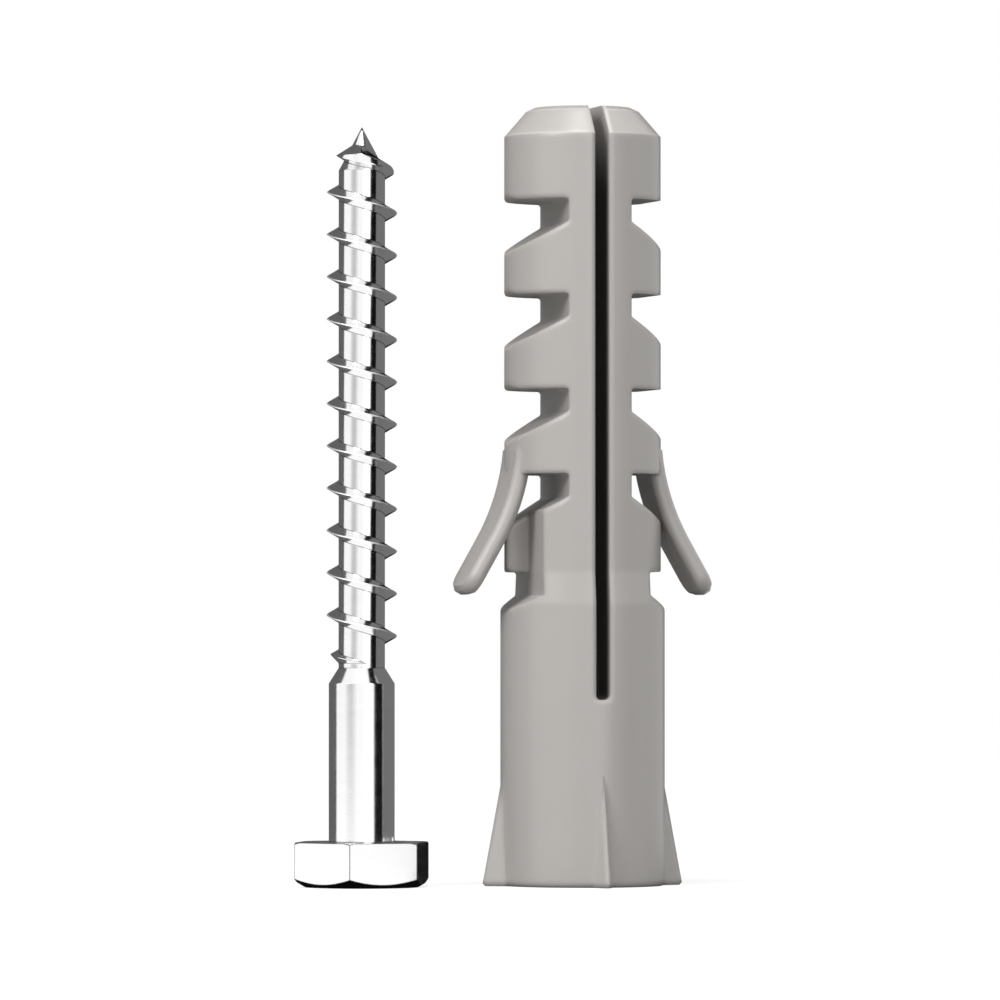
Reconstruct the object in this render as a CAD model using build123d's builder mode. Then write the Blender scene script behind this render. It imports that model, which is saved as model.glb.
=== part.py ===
from build123d import *
from math import ceil, cos, radians, sin, sqrt, tan
import os

# A coarse-threaded hex head screw and the nylon wall plug sold with it.
# Millimetres, +Z up. The plug stands on its mouth, tip up, with its mouth
# centred on the origin. Its slot faces -Y and +Y, its two wings point to -X
# and +X. The screw stands beside it on its head, point up.

# Screw: overall
screw_length = 68.0
screw_offset_x = -20.4
screw_turn = 7.5

# Screw: head
head_height = 4.05
head_across_flats = 11.1
head_chamfer_angle = 30.0
head_chamfer_start = 5.05
head_seat_chamfer = 0.15

# Screw: shank and thread
shank_diameter = 5.9
shank_end = 18.2
shank_neck_length = 1.4
core_diameter = 4.15
thread_diameter = 6.3
thread_pitch = 3.784
thread_base_width = 1.1
thread_root_depth = 1.2
thread_turns_per_length = 2
thread_trim_slack = 0.05
thread_start = 20.6
thread_fade_length = 1.2
thread_left_handed = True
thread_phase_height = 58.4
thread_phase_angle = 166.0
point_half_angle = 28.0
point_shoulder_drop = 0.3
point_thread_drop = 0.85
point_thread_share = 0.6
point_thread_taper_length = 2.4

# Plug: body
plug_length = 70.0
body_radius = 7.4
body_top = 25.3
tooth_radius = 7.05
tip_radius = 4.8
tip_bevel_length = 2.6
tip_edge_chamfer = 0.45
mouth_edge_chamfer = 0.25
cut_slack = 1.0

# Plug: notches between the teeth
notch_height = 2.1
notch_ramp_angle = 30.0
tooth_pitch = 8.5
first_notch_top = 61.6
tooth_notch_count = 3
wing_tooth_pitch = 7.6
neck_notch_top = 28.2
notch_floor_front = 2.9
notch_floor_back = 2.2
neck_floor = 4.9
tooth_heel_round = 0.9
tooth_toe_round = 1.3
notch_root_round = 0.3
notch_flare = 1.2
tooth_edge_slack = 0.1

# Plug: slot and screw channel
slot_width = 1.3
slot_end = 16.75
slot_corner_round = 0.4
bore_clearance = 0.2
bore_length = 15.0
bore_throat_radius = 1.3
bore_throat_height = 34.0
bore_end_height = 62.0

# Plug: fins that stop it turning in the hole
fin_count = 4
fin_crest_radius = 9.55
fin_crest_round = 0.2
fin_root_radius = 6.2
fin_toe_chamfer = 0.25
fin_height = 10.2
fin_half_width = 1.0

# Plug: spring wings
wing_width = 5.9
wing_thickness = 1.4
wing_root_rise = 2.2
wing_root_radius = 6.75
wing_bend_radius = 19.6
wing_root_angle = 5.0
wing_tip_angle = 29.5
wing_drop = 12.55
wing_corner_round = 1.7
wing_rim_chamfer = 0.4
wing_seam_slack = 0.1

# Screw: worked-out sizes
core_radius = core_diameter / 2
shank_radius = shank_diameter / 2
crest_radius = thread_diameter / 2
trim_radius = crest_radius + thread_trim_slack
thread_height = crest_radius - core_radius
thread_flank_slope = thread_base_width / 2 / thread_height
thread_root_half_width = thread_base_width / 2 + thread_flank_slope * thread_root_depth
head_corner_radius = head_across_flats / 2 / cos(radians(30))
head_chamfer_height = (head_corner_radius - head_chamfer_start) * tan(radians(head_chamfer_angle))
core_start = shank_end + shank_neck_length
point_length = core_radius / tan(radians(point_half_angle))
point_start = screw_length - point_length
thread_taper_start = point_start - point_thread_taper_length
thread_tip = screw_length - (core_radius - thread_root_depth) / tan(radians(point_half_angle))
point_thread_end = point_start + (thread_tip - point_start) * point_thread_share
hand = -1 if thread_left_handed else 1
helix_phase_shift = hand * thread_phase_angle / 360 * thread_pitch
helix_rise = thread_phase_height - helix_phase_shift - thread_start
helix_base = thread_start + helix_rise % thread_pitch - thread_pitch
thread_length_rise = thread_pitch * thread_turns_per_length
thread_length_count = ceil((thread_tip - helix_base) / thread_length_rise)

screw_base = Plane(origin=(screw_offset_x, 0, 0))
screw_side = Plane(origin=(screw_offset_x, 0, 0), x_dir=(1, 0, 0), z_dir=(0, -1, 0))
screw_axis = Axis((screw_offset_x, 0, 0), (0, 0, 1))

# The thread: one long ridge in lengths of two turns that meet end to end. Each
# is swept from a V that starts under the core's surface, then kept inside the
# outline that fades it out at the shank and at the point.
thread_lengths = []
for number in range(thread_length_count):
    with BuildPart() as thread_length:
        with BuildLine() as helix:
            Helix(
                pitch=thread_pitch,
                height=thread_length_rise,
                radius=core_radius,
                center=(screw_offset_x, 0, helix_base + thread_length_rise * number),
                lefthand=thread_left_handed,
            )
        with BuildSketch(Plane(origin=helix.line @ 0, x_dir=(1, 0, 0), z_dir=helix.line % 0)):
            with BuildLine():
                Polyline(
                    (-thread_root_depth, -thread_root_half_width),
                    (thread_height, 0),
                    (-thread_root_depth, thread_root_half_width),
                    close=True,
                )
            make_face()
        sweep(path=helix.line, is_frenet=True)
        with BuildSketch(screw_side):
            with BuildLine():
                Polyline(
                    (0, thread_start - thread_fade_length),
                    (core_radius, thread_start - thread_fade_length / 2),
                    (trim_radius, thread_start + thread_fade_length / 2),
                    (trim_radius, thread_taper_start),
                    (crest_radius - point_shoulder_drop, point_start),
                    (crest_radius - point_thread_drop, point_thread_end),
                    (core_radius - thread_root_depth, thread_tip),
                    (0, thread_tip),
                    close=True,
                )
            make_face()
        revolve(axis=screw_axis, mode=Mode.INTERSECT)
    thread_lengths.append(thread_length.part)

with BuildPart() as screw_head:
    with BuildSketch(screw_base):
        RegularPolygon(radius=head_across_flats / 2, side_count=6, major_radius=False, rotation=screw_turn)
    extrude(amount=head_height)
    with BuildSketch(screw_side):
        with BuildLine():
            Polyline(
                (0, 0),
                (head_chamfer_start, 0),
                (head_corner_radius, head_chamfer_height),
                (head_corner_radius, head_height - head_seat_chamfer),
                (head_corner_radius - head_seat_chamfer * 2, head_height),
                (0, head_height),
                close=True,
            )
        make_face()
    revolve(axis=screw_axis, mode=Mode.INTERSECT)

with BuildPart() as hex_screw:
    with BuildSketch(screw_side):
        with BuildLine():
            Polyline(
                (0, head_height / 2),
                (shank_radius, head_height / 2),
                (shank_radius, shank_end),
                (core_radius, core_start),
                (core_radius, point_start),
                (0, screw_length),
                close=True,
            )
        make_face()
    revolve(axis=screw_axis)
    for length in thread_lengths:
        add(length)
    add(screw_head.part)

# Plug: worked-out sizes
bore_radius = crest_radius + bore_clearance / 2
body_side = Plane(origin=(0, 0, 0), x_dir=(1, 0, 0), z_dir=(0, -1, 0))
cut_depth = body_radius + cut_slack
notch_swing = (notch_floor_front - notch_floor_back) / 2 / tooth_radius
tooth_planes = [
    Plane(origin=(0, 0, 0), x_dir=(side, notch_swing, 0), z_dir=(notch_swing, -side, 0))
    for side in (1, -1)
]
neck_planes = [
    Plane(origin=(0, 0, 0), x_dir=(side, 0, 0), z_dir=(0, -side, 0))
    for side in (1, -1)
]
fin_meet_radius = sqrt(body_radius**2 - fin_half_width**2)
fin_side_slope = fin_half_width / (fin_crest_radius - fin_meet_radius)
notch_floor_middle = (notch_floor_front + notch_floor_back) / 2
tooth_notch_tops = [first_notch_top - tooth_pitch * n for n in range(tooth_notch_count)]
wing_notch_top = tooth_notch_tops[-1] - wing_tooth_pitch
wing_root_height = wing_notch_top + wing_root_rise
wing_tip_height = wing_root_height - wing_drop
wing_half_width = wing_width / 2
wing_seam_length = wing_thickness + wing_seam_slack
wing_bend_x = wing_root_radius + wing_bend_radius * cos(radians(wing_root_angle))
wing_bend_z = wing_root_height + wing_bend_radius * sin(radians(wing_root_angle))
wing_bend_end_z = wing_bend_z - wing_bend_radius * sin(radians(wing_tip_angle))
wing_straight = (wing_bend_end_z - wing_tip_height) / cos(radians(wing_tip_angle))
tooth_notch_tops.append(wing_notch_top)
tooth_edge = tooth_radius + tooth_edge_slack
notches = [
    (plane, top, notch_floor_middle, tooth_edge, tooth_edge)
    for plane in tooth_planes
    for top in tooth_notch_tops
]
notches += [(plane, neck_notch_top, neck_floor, tooth_edge, body_radius) for plane in neck_planes]

# One wing, on the +X side, long edges and tip rounded.
with BuildPart() as wing:
    with BuildSketch(body_side.offset(-wing_half_width)):
        with BuildLine() as wing_middle:
            bend = CenterArc(
                (wing_bend_x, wing_bend_z),
                wing_bend_radius + wing_thickness / 2,
                180 + wing_root_angle,
                wing_tip_angle - wing_root_angle,
            )
            PolarLine(bend @ 1, wing_straight, direction=bend % 1)
        trace(wing_middle.line, wing_thickness)
    extrude(amount=wing_width)
    wing_tip = wing.faces().sort_by(Axis.Z)[0]
    fillet(wing_tip.edges().filter_by(lambda edge: edge.length < wing_seam_length), wing_corner_round)
    wing_rims = wing.edges().filter_by(lambda edge: edge.center().Z < wing_root_height - wing_rim_chamfer)
    wing_rims = wing_rims.filter_by(lambda edge: edge.length > wing_seam_length)
    chamfer(wing_rims, wing_rim_chamfer)

# The fins at the mouth: three-sided spikes that taper away up the body.
with BuildPart() as fins:
    for number in range(fin_count):
        fin_turn = radians(360 / fin_count * number)
        foot_plane = Plane(origin=(0, 0, 0), x_dir=(cos(fin_turn), sin(fin_turn), 0), z_dir=(0, 0, 1))
        sections = []
        for height, crest in ((0, fin_crest_radius - fin_toe_chamfer), (fin_toe_chamfer, fin_crest_radius)):
            with BuildSketch(foot_plane.offset(height), mode=Mode.PRIVATE) as section:
                with BuildLine():
                    Polyline(
                        (crest, 0),
                        (fin_root_radius, (crest - fin_root_radius) * fin_side_slope),
                        (fin_root_radius, (fin_root_radius - crest) * fin_side_slope),
                        close=True,
                    )
                make_face()
                fillet(section.vertices().sort_by(Axis.X)[-1], fin_crest_round)
            sections.append(section.sketch.face())
        fin_top = foot_plane.from_local_coords((body_radius, 0, fin_height))
        loft(sections=sections)
        loft(sections=[sections[1], Vertex(fin_top.X, fin_top.Y, fin_top.Z)])

with BuildPart() as wall_plug:
    # The solid plug, turned about its axis.
    with BuildSketch(body_side) as plug_profile:
        with BuildLine():
            Polyline(
                (0, 0),
                (body_radius, 0),
                (body_radius, body_top),
                (tooth_radius, neck_notch_top),
                (tooth_radius, plug_length - tip_bevel_length),
                (tip_radius, plug_length),
                (0, plug_length),
                close=True,
            )
        make_face()
        chamfer(plug_profile.vertices().sort_by_distance((tip_radius, plug_length))[0], tip_edge_chamfer)
        chamfer(plug_profile.vertices().sort_by_distance((body_radius, 0))[0], mouth_edge_chamfer)
    revolve(axis=Axis.Z)
    add(fins.part)

    # The spaces between the teeth, one cut each.
    for plane, top, floor, heel_edge, toe_edge in notches:
        bottom = top - notch_height
        toe = bottom - (toe_edge - floor) * tan(radians(notch_ramp_angle))
        clear_edge = toe_edge + notch_height
        with BuildSketch(plane.offset(-cut_depth)) as outline:
            with BuildLine():
                Polyline(
                    (floor, top),
                    (heel_edge, top),
                    (heel_edge, top + tooth_heel_round * notch_flare),
                    (clear_edge, top + tooth_heel_round * notch_flare),
                    (clear_edge, toe - tooth_toe_round * notch_flare),
                    (toe_edge, toe - tooth_toe_round * notch_flare),
                    (toe_edge, toe),
                    (floor, bottom),
                    close=True,
                )
            make_face()
            fillet(outline.vertices().sort_by_distance((heel_edge, top))[0], tooth_heel_round)
            fillet(outline.vertices().sort_by_distance((toe_edge, toe))[0], tooth_toe_round)
            fillet(outline.vertices().sort_by_distance((floor, top))[0], notch_root_round)
            fillet(outline.vertices().sort_by_distance((floor, bottom))[0], notch_root_round)
        extrude(amount=cut_depth * 2, mode=Mode.SUBTRACT)

    # The lowest tooth is left off on one half of each side.
    for plane in neck_planes:
        with BuildSketch(plane):
            with BuildLine():
                Polyline(
                    (neck_floor, neck_notch_top - notch_height),
                    (cut_depth, neck_notch_top - notch_height),
                    (cut_depth, wing_notch_top - notch_height),
                    (neck_floor, wing_notch_top - notch_height),
                    close=True,
                )
            make_face()
        extrude(amount=-cut_depth, mode=Mode.SUBTRACT)

    # The wings, rooted in the tooth above them.
    add(wing.part)
    add(wing.part, rotation=(0, 0, 180))

    # The bore: straight for the screw's core, then narrowing up to the tip.
    with BuildSketch(body_side):
        with BuildLine():
            Polyline(
                (0, 0),
                (bore_radius, 0),
                (bore_radius, bore_length),
                (bore_throat_radius, bore_throat_height),
                (bore_throat_radius, bore_end_height),
                (0, bore_end_height + bore_throat_radius),
                close=True,
            )
        make_face()
    revolve(axis=Axis.Z, mode=Mode.SUBTRACT)

    # The slot that parts the shank in two halves, open at the tip.
    with BuildSketch(body_side.offset(-cut_depth)) as slot_outline:
        with BuildLine():
            Polyline(
                (-slot_width / 2, slot_end),
                (slot_width / 2, slot_end),
                (slot_width / 2, plug_length + cut_slack),
                (-slot_width / 2, plug_length + cut_slack),
                close=True,
            )
        make_face()
        fillet(slot_outline.vertices().group_by(Axis.Y)[0], slot_corner_round)
    extrude(amount=cut_depth * 2, mode=Mode.SUBTRACT)

hex_screw.part.label = "hex_screw"
wall_plug.part.label = "wall_plug"

os.makedirs("parts", exist_ok=True)
export_step(hex_screw.part, "parts/hex_screw.step")
export_step(wall_plug.part, "parts/wall_plug.step")
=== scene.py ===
import math

import bpy
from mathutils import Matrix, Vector

MM = 0.001

# The two pieces, in the shared frame: metres, +Z up, the plug's mouth centred
# on the origin.
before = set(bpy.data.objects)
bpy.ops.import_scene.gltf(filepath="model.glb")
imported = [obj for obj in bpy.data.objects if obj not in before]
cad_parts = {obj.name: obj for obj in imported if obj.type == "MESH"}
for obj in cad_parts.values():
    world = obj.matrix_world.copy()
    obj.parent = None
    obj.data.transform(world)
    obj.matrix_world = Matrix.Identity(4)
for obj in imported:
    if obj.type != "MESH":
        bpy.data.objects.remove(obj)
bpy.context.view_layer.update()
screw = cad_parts["hex_screw"]
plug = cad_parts["wall_plug"]

# Where the finishes change on them.
SCREW_AXIS_X = -20.4 * MM
HEAD_HEIGHT = 4.05 * MM
THREAD_CREST_RADIUS = 3.15 * MM
CORE_RADIUS = 2.075 * MM
SLOT_HALF_WIDTH = 0.65 * MM
SLOT_END = 16.75 * MM

# Grey nylon: satin, with soft mould edges, painted shade deep in the slot and a painted highlight on the
# ramps' edges.
NYLON_GREY = (0.46, 0.44, 0.42)
NYLON_EDGE_RADIUS = 0.75 * MM
SLOT_LIGHT_FROM = 61.5 * MM
SLOT_LIGHT_TO = 69.5 * MM
SLOT_DEEP = 5.6 * MM
SLOT_SHALLOW = 7.3 * MM
SLOT_SHADE = -0.88
RAMP_EDGE_PAINTED_HIGHLIGHT = 0.3

# Bright zinc: painted dark reflections on the head's edges and painted shade at the thread's roots.
ZINC_WHITE = (0.93, 0.93, 0.935)
ZINC_EDGE_RADIUS = 0.16 * MM
HEAD_EDGE_PAINTED_REFLECTION = -0.9
HEAD_EDGE_DULLING = 0.3
ROOT_FROM = CORE_RADIUS + 0.15 * MM
ROOT_TO = CORE_RADIUS + 0.4 * MM
ROOT_SHADE = -0.65
CREST_FROM = THREAD_CREST_RADIUS - 0.22 * MM
CREST_TO = THREAD_CREST_RADIUS - 0.08 * MM
CREST_DULLING = 0.35

# The camera stands a little to the left of the slot's plane and low down.
CAMERA_TURN = math.radians(14)
CAMERA_DISTANCE = 717 * MM
CAMERA_HEIGHT = 22 * MM
CAMERA_LENS = 286.6
AIM_ACROSS = -7.43 * MM
AIM_HEIGHT = 34.7 * MM

# The studio's floor, and how much of the fill light falls on the pieces.
FLOOR_RADIUS = 350 * MM
FLOOR_SIDES = 96
PAPER_GREY = 0.3
PAPER_LIFT = 0.76
FILL_LIGHT = 0.43

# Outlines of the cards that the metal mirrors: distances from the screw's axis
# and heights over the floor.
CARD_DISTANCE = 420 * MM
CARD_HEIGHT = 500 * MM
WALL = ((CARD_DISTANCE, 1 * MM), (CARD_DISTANCE, CARD_HEIGHT))
ROUND_CARD = ((14 * MM, 0.3 * MM),) + WALL + ((CARD_DISTANCE * 0.35, CARD_HEIGHT),)
NEAR_CARD = ((7.7 * MM, 4.3 * MM), (7.7 * MM, 90 * MM))
SEAT_CARD = ((4.0 * MM, 0.02 * MM), (7.6 * MM, 0.02 * MM))
FLOOR_CARD = ((7.0 * MM, 0.04 * MM), (60.0 * MM, 0.04 * MM))
CARD_STEP = 6


def socket(group, name, kind, default=None, output=False):
    """Add a named input or output to a node group."""
    direction = "OUTPUT" if output else "INPUT"
    made = group.interface.new_socket(name=name, in_out=direction, socket_type=kind)
    if default is not None:
        made.default_value = default


def math_node(nodes, links, operation, first, second=None, third=None):
    """A math node whose inputs are links or plain numbers; returns its output."""
    node = nodes.new("ShaderNodeMath")
    node.operation = operation
    for index, value in enumerate((first, second, third)):
        if value is None:
            continue
        if isinstance(value, (int, float)):
            node.inputs[index].default_value = value
        else:
            links.new(value, node.inputs[index])
    return node.outputs[0]


def ramp_between(nodes, links, value, low, high, out_low=0.0, out_high=1.0):
    """A smooth step of a value from low to high; returns its output."""
    node = nodes.new("ShaderNodeMapRange")
    node.interpolation_type = "SMOOTHSTEP"
    links.new(value, node.inputs["Value"])
    node.inputs["From Min"].default_value = low
    node.inputs["From Max"].default_value = high
    node.inputs["To Min"].default_value = out_low
    node.inputs["To Max"].default_value = out_high
    return node.outputs["Result"]


def surface_grain():
    """Clouding and fine grain: a tint, a roughness and a height over the surface."""
    group = bpy.data.node_groups.new("surface_grain", "ShaderNodeTree")
    socket(group, "Cloud Scale", "NodeSocketFloat", 90.0)
    socket(group, "Grain Scale", "NodeSocketFloat", 2600.0)
    socket(group, "Stretch", "NodeSocketVector", (1, 1, 1))
    socket(group, "Clouding", "NodeSocketFloat", 0.05)
    socket(group, "Gloss", "NodeSocketFloat", 0.4)
    socket(group, "Gloss Change", "NodeSocketFloat", 0.1)
    socket(group, "Tint", "NodeSocketFloat", output=True)
    socket(group, "Roughness", "NodeSocketFloat", output=True)
    socket(group, "Height", "NodeSocketFloat", output=True)
    nodes, links = group.nodes, group.links
    given = nodes.new("NodeGroupInput")
    gives = nodes.new("NodeGroupOutput")
    where = nodes.new("ShaderNodeTexCoord")
    stretch = nodes.new("ShaderNodeVectorMath")
    stretch.operation = "MULTIPLY"
    links.new(where.outputs["Object"], stretch.inputs[0])
    links.new(given.outputs["Stretch"], stretch.inputs[1])

    clouds = nodes.new("ShaderNodeTexNoise")
    clouds.inputs["Detail"].default_value = 3
    links.new(given.outputs["Cloud Scale"], clouds.inputs["Scale"])
    links.new(stretch.outputs[0], clouds.inputs["Vector"])
    centred = math_node(nodes, links, "SUBTRACT", clouds.outputs["Fac"], 0.5)
    tint = math_node(nodes, links, "MULTIPLY_ADD", centred, given.outputs["Clouding"], 1.0)
    links.new(tint, gives.inputs["Tint"])
    change, gloss = given.outputs["Gloss Change"], given.outputs["Gloss"]
    links.new(math_node(nodes, links, "MULTIPLY_ADD", centred, change, gloss), gives.inputs["Roughness"])

    grain = nodes.new("ShaderNodeTexNoise")
    grain.inputs["Detail"].default_value = 2
    links.new(given.outputs["Grain Scale"], grain.inputs["Scale"])
    links.new(stretch.outputs[0], grain.inputs["Vector"])
    links.new(grain.outputs["Fac"], gives.inputs["Height"])
    return group


def edge_finder():
    """A mask that is 1 on sharp edges, and the normal rounded over them."""
    group = bpy.data.node_groups.new("edge_finder", "ShaderNodeTree")
    socket(group, "Radius", "NodeSocketFloat", 0.1 * MM)
    socket(group, "Mask", "NodeSocketFloat", output=True)
    socket(group, "Normal", "NodeSocketVector", output=True)
    nodes, links = group.nodes, group.links
    given = nodes.new("NodeGroupInput")
    gives = nodes.new("NodeGroupOutput")
    rounded = nodes.new("ShaderNodeBevel")
    rounded.samples = 12
    links.new(given.outputs["Radius"], rounded.inputs["Radius"])
    surface = nodes.new("ShaderNodeNewGeometry")
    alike = nodes.new("ShaderNodeVectorMath")
    alike.operation = "DOT_PRODUCT"
    links.new(rounded.outputs["Normal"], alike.inputs[0])
    links.new(surface.outputs["Normal"], alike.inputs[1])
    mask = ramp_between(nodes, links, alike.outputs["Value"], 0.97, 0.9995, 1.0, 0.0)
    links.new(mask, gives.inputs["Mask"])
    links.new(rounded.outputs["Normal"], gives.inputs["Normal"])
    return group


grain_group = surface_grain()
edge_group = edge_finder()


def placed(nodes, group, values):
    """Put a node group in a material with its own values."""
    node = nodes.new("ShaderNodeGroup")
    node.node_tree = group
    for key, value in values.items():
        node.inputs[key].default_value = value
    return node


def tinted(nodes, links, colour, amount):
    """A plain colour scaled by a number that changes over the surface."""
    tint = nodes.new("ShaderNodeVectorMath")
    tint.operation = "SCALE"
    tint.inputs[0].default_value = colour
    links.new(amount, tint.inputs["Scale"])
    return tint.outputs[0]


def bumped(nodes, links, shader, height, depth, normal):
    """Feed a fine relief, laid over a rounded normal, to the shader."""
    bump = nodes.new("ShaderNodeBump")
    bump.inputs["Strength"].default_value = 0.5
    bump.inputs["Distance"].default_value = depth
    links.new(height, bump.inputs["Height"])
    links.new(normal, bump.inputs["Normal"])
    links.new(bump.outputs["Normal"], shader.inputs["Normal"])


def moulded_nylon():
    """Satin grey nylon with soft mould edges, a painted highlight on the ramps' edges and painted shade
    in the slot.
    """
    material = bpy.data.materials.new("grey_nylon")
    material.use_nodes = True
    nodes, links = material.node_tree.nodes, material.node_tree.links
    shader = nodes["Principled BSDF"]
    grain = placed(nodes, grain_group, {"Clouding": 0.06, "Gloss": 0.34, "Gloss Change": 0.1})
    edges = placed(nodes, edge_group, {"Radius": NYLON_EDGE_RADIUS})

    # Painted shade: the base colour darkens deep in the slot and fades out towards the open tip and the
    # mouth.
    where = nodes.new("ShaderNodeTexCoord")
    split = nodes.new("ShaderNodeSeparateXYZ")
    links.new(where.outputs["Object"], split.inputs["Vector"])
    across = math_node(nodes, links, "ABSOLUTE", split.outputs["X"])
    between = math_node(nodes, links, "LESS_THAN", across, SLOT_HALF_WIDTH + 0.01 * MM)
    above = math_node(nodes, links, "GREATER_THAN", split.outputs["Z"], SLOT_END - 0.01 * MM)
    below_tip = ramp_between(nodes, links, split.outputs["Z"], SLOT_LIGHT_FROM, SLOT_LIGHT_TO, 1.0, 0.0)
    depth = math_node(nodes, links, "ABSOLUTE", split.outputs["Y"])
    inside = ramp_between(nodes, links, depth, SLOT_DEEP, SLOT_SHALLOW, 1.0, 0.25)
    in_slot = math_node(nodes, links, "MULTIPLY", between, above)
    deep_in_slot = math_node(nodes, links, "MULTIPLY", in_slot, inside)
    dark = math_node(nodes, links, "MULTIPLY", deep_in_slot, below_tip)
    shade = math_node(nodes, links, "MULTIPLY_ADD", dark, SLOT_SHADE, 1.0)

    # Painted highlight: the base colour is lighter on edges that face upwards, such as the ramps' front
    # edges.
    surface = nodes.new("ShaderNodeNewGeometry")
    facing = nodes.new("ShaderNodeSeparateXYZ")
    links.new(surface.outputs["Normal"], facing.inputs["Vector"])
    on_ramp = ramp_between(nodes, links, facing.outputs["Z"], 0.3, 0.6)
    ramp_highlight_mask = math_node(nodes, links, "MULTIPLY", edges.outputs["Mask"], on_ramp)
    painted_highlight_and_shade = math_node(nodes, links, "MULTIPLY_ADD", ramp_highlight_mask, RAMP_EDGE_PAINTED_HIGHLIGHT, shade)
    amount = math_node(nodes, links, "MULTIPLY", grain.outputs["Tint"], painted_highlight_and_shade)
    links.new(tinted(nodes, links, NYLON_GREY, amount), shader.inputs["Base Color"])
    links.new(grain.outputs["Roughness"], shader.inputs["Roughness"])
    bumped(nodes, links, shader, grain.outputs["Height"], 0.012 * MM, edges.outputs["Normal"])
    shader.inputs["IOR"].default_value = 1.53
    shader.inputs["Subsurface Weight"].default_value = 0.1
    shader.inputs["Subsurface Radius"].default_value = (1.0, 0.95, 0.9)
    shader.inputs["Subsurface Scale"].default_value = 0.5 * MM
    return material


def plated_steel():
    """Bright zinc plate: fine rolling marks, painted dark reflections on the head's edges, painted shade
    at the thread roots, rubbed crests.
    """
    material = bpy.data.materials.new("bright_zinc")
    material.use_nodes = True
    nodes, links = material.node_tree.nodes, material.node_tree.links
    shader = nodes["Principled BSDF"]
    grain = placed(
        nodes,
        grain_group,
        {
            "Cloud Scale": 420.0,
            "Grain Scale": 3000.0,
            "Stretch": (1, 1, 3),
            "Clouding": 0.06,
            "Gloss": 0.13,
            "Gloss Change": 0.08,
        },
    )
    edges = placed(nodes, edge_group, {"Radius": ZINC_EDGE_RADIUS})

    where = nodes.new("ShaderNodeTexCoord")
    split = nodes.new("ShaderNodeSeparateXYZ")
    links.new(where.outputs["Object"], split.inputs["Vector"])
    on_head = math_node(nodes, links, "LESS_THAN", split.outputs["Z"], HEAD_HEIGHT + 0.05 * MM)
    # Painted reflection: the base colour darkens along the head's edges and stands for dark surroundings
    # mirrored there.
    head_edges = math_node(nodes, links, "MULTIPLY", edges.outputs["Mask"], on_head)

    from_axis = math_node(nodes, links, "SUBTRACT", split.outputs["X"], SCREW_AXIS_X)
    across = math_node(nodes, links, "MULTIPLY", from_axis, from_axis)
    both = math_node(nodes, links, "MULTIPLY_ADD", split.outputs["Y"], split.outputs["Y"], across)
    radius = math_node(nodes, links, "SQRT", both)
    near_crest = ramp_between(nodes, links, radius, CREST_FROM, CREST_TO)
    off_head = math_node(nodes, links, "SUBTRACT", 1.0, on_head)
    crest = math_node(nodes, links, "MULTIPLY", near_crest, off_head)

    # Painted shade: the base colour darkens in the creases at the thread's roots.
    near_core = ramp_between(nodes, links, radius, ROOT_FROM, ROOT_TO, 1.0, 0.0)
    at_core = math_node(nodes, links, "MULTIPLY", near_core, off_head)
    thread_root_shade_mask = math_node(nodes, links, "MULTIPLY", edges.outputs["Mask"], at_core)

    head_edge_reflection = math_node(nodes, links, "MULTIPLY_ADD", head_edges, HEAD_EDGE_PAINTED_REFLECTION, 1.0)
    painted_reflection_and_shade = math_node(nodes, links, "MULTIPLY_ADD", thread_root_shade_mask, ROOT_SHADE, head_edge_reflection)
    amount = math_node(nodes, links, "MULTIPLY", grain.outputs["Tint"], painted_reflection_and_shade)
    links.new(tinted(nodes, links, ZINC_WHITE, amount), shader.inputs["Base Color"])
    rubbed = math_node(nodes, links, "MULTIPLY_ADD", crest, CREST_DULLING, grain.outputs["Roughness"])
    dulled = math_node(nodes, links, "MULTIPLY_ADD", head_edges, HEAD_EDGE_DULLING, rubbed)
    links.new(dulled, shader.inputs["Roughness"])
    bumped(nodes, links, shader, grain.outputs["Height"], 0.003 * MM, edges.outputs["Normal"])
    shader.inputs["Metallic"].default_value = 1.0
    return material


for piece, finish in ((plug, moulded_nylon()), (screw, plated_steel())):
    for place in piece.material_slots:
        place.material = finish
    if not piece.material_slots:
        piece.data.materials.append(finish)


# Directions in the studio, level with the floor.
RIGHT_OF_CAMERA = Vector((math.cos(CAMERA_TURN), -math.sin(CAMERA_TURN), 0))
TOWARDS_CAMERA = Vector((-math.sin(CAMERA_TURN), -math.cos(CAMERA_TURN), 0))


def studio_direction(turn):
    """Level direction at an angle to the right of the camera's own direction."""
    angle = math.radians(turn)
    return TOWARDS_CAMERA * math.cos(angle) + RIGHT_OF_CAMERA * math.sin(angle)


def card_grey(name, grey):
    """A card's plain grey, the same in any light."""
    material = bpy.data.materials.new(name)
    material.use_nodes = True
    shader = material.node_tree.nodes["Principled BSDF"]
    shader.inputs["Base Color"].default_value = (0, 0, 0, 1)
    shader.inputs["Roughness"].default_value = 1.0
    shader.inputs["Specular IOR Level"].default_value = 0.0
    shader.inputs["Emission Color"].default_value = (grey, grey, grey, 1)
    shader.inputs["Emission Strength"].default_value = 1.0
    return material


def seen_directly(nodes, links):
    """1 for camera, glossy and transmission rays, else 0."""
    ray = nodes.new("ShaderNodeLightPath")
    seen = math_node(nodes, links, "MAXIMUM", ray.outputs["Is Camera Ray"], ray.outputs["Is Glossy Ray"])
    return math_node(nodes, links, "MAXIMUM", seen, ray.outputs["Is Transmission Ray"])


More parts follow.
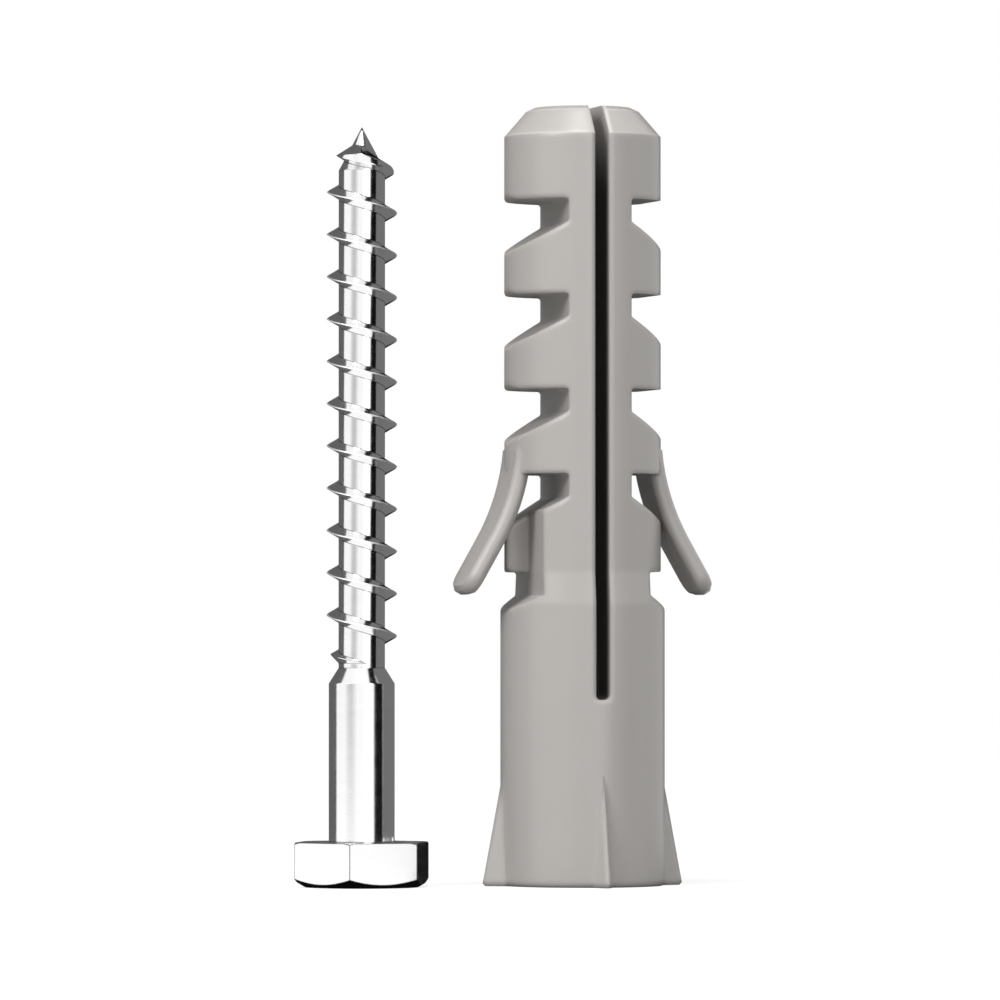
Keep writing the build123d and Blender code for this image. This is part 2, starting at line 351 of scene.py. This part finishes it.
def white_paper():
    """The floor: its shadow is real, and it is filled up to white where it is seen."""
    material = bpy.data.materials.new("white_paper")
    material.use_nodes = True
    nodes, links = material.node_tree.nodes, material.node_tree.links
    shader = nodes["Principled BSDF"]
    shader.inputs["Base Color"].default_value = (PAPER_GREY, PAPER_GREY, PAPER_GREY, 1)
    shader.inputs["Roughness"].default_value = 1.0
    shader.inputs["Specular IOR Level"].default_value = 0.0
    shader.inputs["Emission Color"].default_value = (1, 1, 1, 1)
    lift = math_node(nodes, links, "MULTIPLY", seen_directly(nodes, links), PAPER_LIFT)
    links.new(lift, shader.inputs["Emission Strength"])
    return material


def stage_mesh(name, verts, faces, material):
    """A sheet of the studio, not part of the object."""
    mesh = bpy.data.meshes.new(name)
    mesh.from_pydata([tuple(v) for v in verts], [], faces)
    thing = bpy.data.objects.new(name, mesh)
    mesh.materials.append(material)
    bpy.context.scene.collection.objects.link(thing)
    return thing


def floor_disc():
    """The round pale floor under both pieces."""
    verts = []
    for k in range(FLOOR_SIDES):
        angle = math.tau * k / FLOOR_SIDES
        verts.append((FLOOR_RADIUS * math.cos(angle), FLOOR_RADIUS * math.sin(angle), 0))
    stage_mesh("floor", verts, [tuple(range(FLOOR_SIDES))], white_paper())


def mirror_card(name, turn_from, turn_to, grey, outline, further=0.0):
    """A card bent round the screw between two turns, which only the metal mirrors: a painted reflection,
    seen by neither the camera nor diffuse light, and casting no shadow.
    """
    centre = Vector((SCREW_AXIS_X, 0, 0))
    steps = max(2, round(abs(turn_to - turn_from) / CARD_STEP))
    verts, faces = [], []
    for k in range(steps + 1):
        out = studio_direction(turn_from + (turn_to - turn_from) * k / steps)
        for distance, height in outline:
            verts.append(centre + out * (distance + further) + Vector((0, 0, height)))
    rows = len(outline)
    for k in range(steps):
        for j in range(rows - 1):
            first = k * rows + j
            faces.append((first, first + rows, first + rows + 1, first + 1))
    card = stage_mesh(name, verts, faces, card_grey(name, grey))
    card.visible_camera = False
    card.visible_diffuse = False
    card.visible_shadow = False


floor_disc()
# Painted reflections in the metal: dark and pale cards round the screw. The dark seat card is painted
# shade under the head, and the dark floor card is a painted dark reflection of the floor beside the
# screw.
mirror_card("dark_card_right", 45, 80, 0.003, ROUND_CARD)
mirror_card("grey_card_right", 67, 150, 0.17, NEAR_CARD)
mirror_card("dark_card_back", 150, 180, 0.003, ROUND_CARD)
mirror_card("grey_card_left", -180, -98, 0.12, ROUND_CARD)
mirror_card("pale_card_front", -58, -18, 0.84, WALL, 6 * MM)
mirror_card("pale_card_middle", -52, -24, 0.70, WALL, 3 * MM)
mirror_card("pale_card_inner", -46, -30, 0.56, WALL)
mirror_card("dark_seat_card", -180, 180, 0.003, SEAT_CARD)
mirror_card("dark_floor_card", 60, 180, 0.01, FLOOR_CARD)


def studio_world():
    """A soft even fill that is seen as white."""
    world = bpy.data.worlds.new("studio")
    bpy.context.scene.world = world
    world.use_nodes = True
    nodes, links = world.node_tree.nodes, world.node_tree.links
    background = nodes["Background"]
    background.inputs["Color"].default_value = (1, 1, 1, 1)
    seen = seen_directly(nodes, links)
    strength = math_node(nodes, links, "MULTIPLY_ADD", seen, 1.0 - FILL_LIGHT, FILL_LIGHT)
    links.new(strength, background.inputs["Strength"])


def soft_box(name, place, size, power):
    """A square soft light aimed at the middle of the plug."""
    lamp = bpy.data.lights.new(name, "AREA")
    lamp.shape = "SQUARE"
    lamp.size = size
    lamp.energy = power
    thing = bpy.data.objects.new(name, lamp)
    thing.location = place
    thing.rotation_mode = "QUATERNION"
    thing.rotation_quaternion = (Vector((0, 0, 35 * MM)) - Vector(place)).to_track_quat("-Z", "Y")
    bpy.context.scene.collection.objects.link(thing)


studio_world()
soft_box("top_light", (-0.1, -0.25, 0.9), 0.3, 3.9)
soft_box("left_light", (-0.78, -0.46, 0.6), 0.4, 5.1)
soft_box("front_light", (0.15, -0.95, 0.3), 0.5, 2.0)


def camera_at_photo_angle():
    """The camera, level with the lower third of the pieces."""
    across = RIGHT_OF_CAMERA * AIM_ACROSS
    aim = across + Vector((0, 0, AIM_HEIGHT))
    eye = across + TOWARDS_CAMERA * CAMERA_DISTANCE + Vector((0, 0, CAMERA_HEIGHT))
    lens = bpy.data.cameras.new("camera")
    lens.lens = CAMERA_LENS
    lens.sensor_width = 36
    lens.clip_start = 0.05
    lens.clip_end = 50
    camera = bpy.data.objects.new("camera", lens)
    camera.location = eye
    camera.rotation_mode = "QUATERNION"
    camera.rotation_quaternion = (aim - eye).to_track_quat("-Z", "Y")
    bpy.context.scene.collection.objects.link(camera)
    bpy.context.scene.camera = camera


camera_at_photo_angle()
bpy.context.scene.view_settings.view_transform = "Standard"
